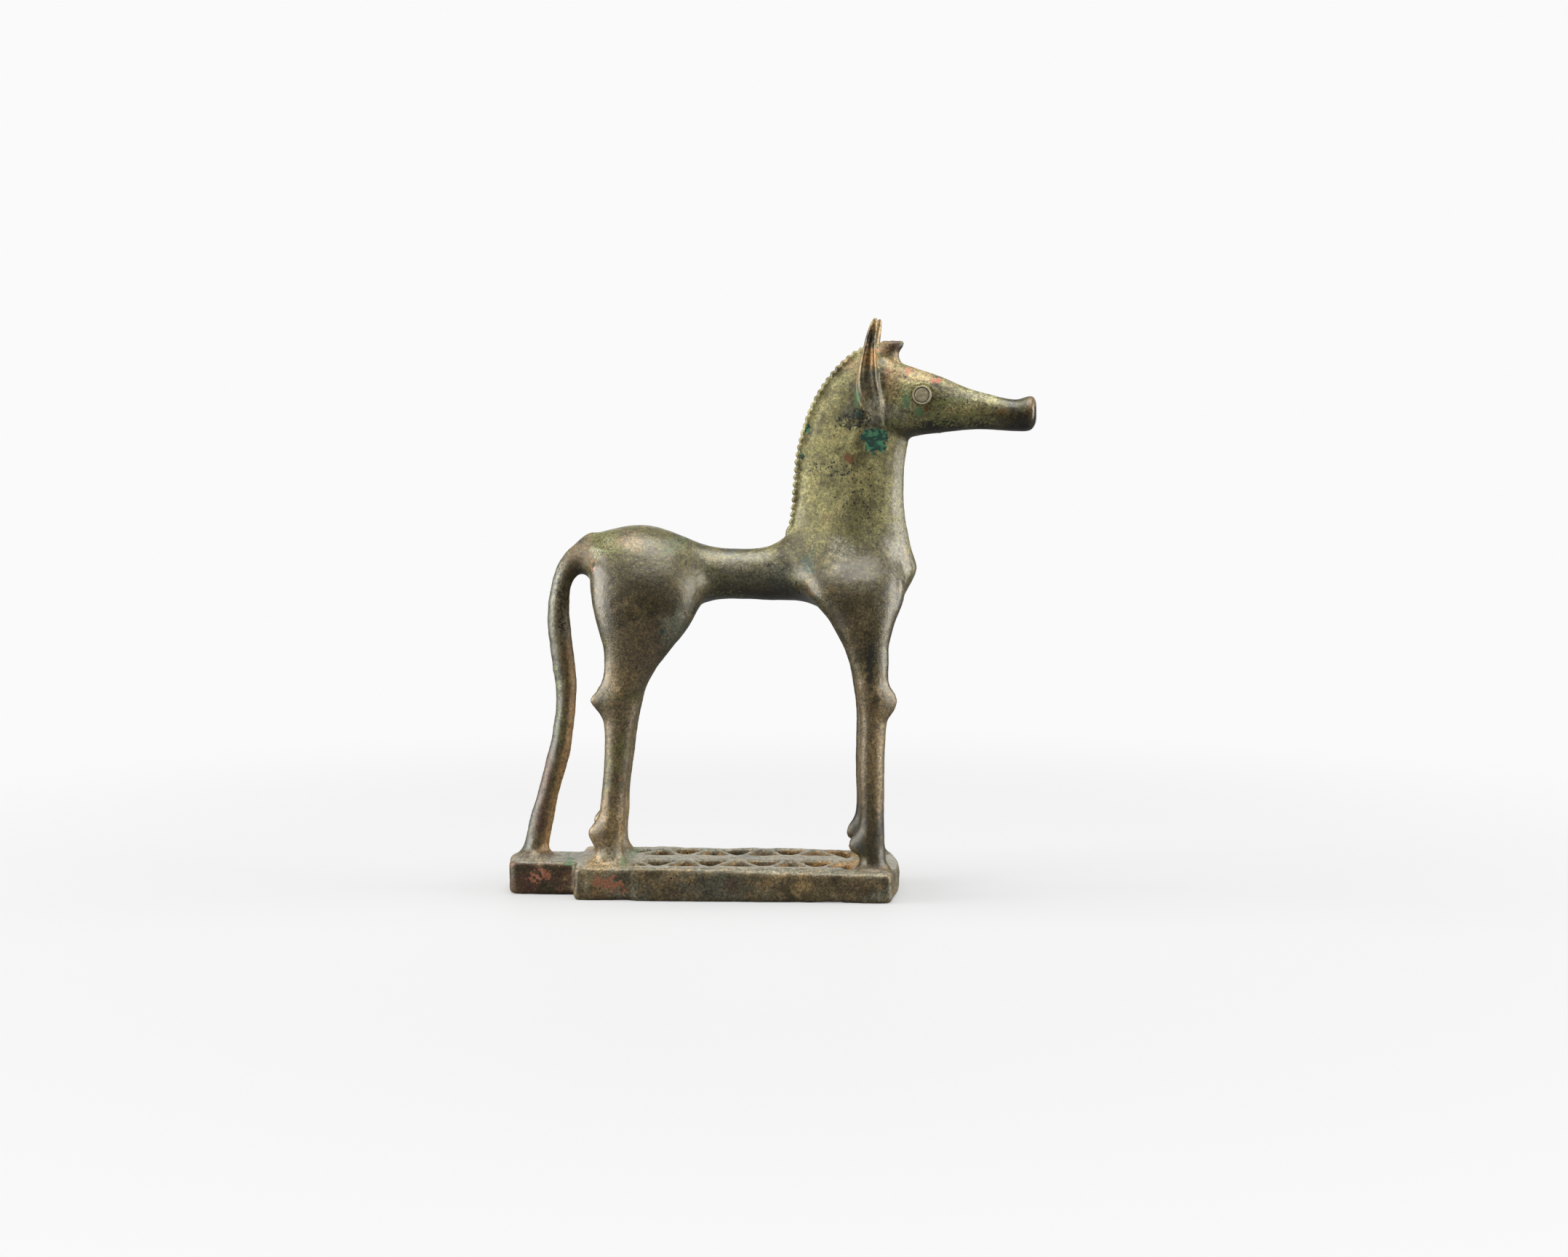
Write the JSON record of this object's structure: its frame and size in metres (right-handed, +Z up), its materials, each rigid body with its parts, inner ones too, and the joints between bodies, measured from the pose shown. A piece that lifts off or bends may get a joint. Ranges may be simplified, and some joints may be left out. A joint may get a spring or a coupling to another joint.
{
  "type": "horse statuette",
  "caption": "Small bronze horse with a tall neck, trumpet muzzle and notched mane, standing on a pierced plate that a long tail reaches down to.",
  "frame": {"origin": "on the floor under the middle of the whole outline", "axes": "+X the way the horse faces, +Z up, -Y its right side"},
  "size_m": [0.1614, 0.0494, 0.176],
  "materials": {
    "plate_bronze": "dark brown bronze with copper-red and ochre wear",
    "body_bronze": "smooth dark olive-brown bronze patina, low gloss",
    "leg_bronze": "warm brown bronze patina, low gloss",
    "neck_bronze": "yellow-green bronze patina with a few green crusts",
    "head_bronze": "olive bronze patina with copper-red flecks"
  },
  "bodies": {
    "root": {"base_plate": "plate_bronze", "tail_ledge": "plate_bronze", "croup": "body_bronze", "barrel": "body_bronze", "chest": "body_bronze", "right_haunch": "body_bronze", "left_haunch": "body_bronze", "right_shoulder": "body_bronze", "left_shoulder": "body_bronze", "tail": "leg_bronze", "right_hind_shank": "leg_bronze", "left_hind_shank": "leg_bronze", "right_hind_hoof": "leg_bronze", "left_hind_hoof": "leg_bronze", "right_fore_shank": "leg_bronze", "left_fore_shank": "leg_bronze", "right_fore_hoof": "leg_bronze", "left_fore_hoof": "leg_bronze", "neck": "neck_bronze", "mane": "neck_bronze", "head": "head_bronze", "muzzle": "head_bronze", "forelock": "head_bronze", "right_ear": "head_bronze", "left_ear": "head_bronze", "right_eye": "head_bronze", "left_eye": "head_bronze"}
  },
  "joints": []
}
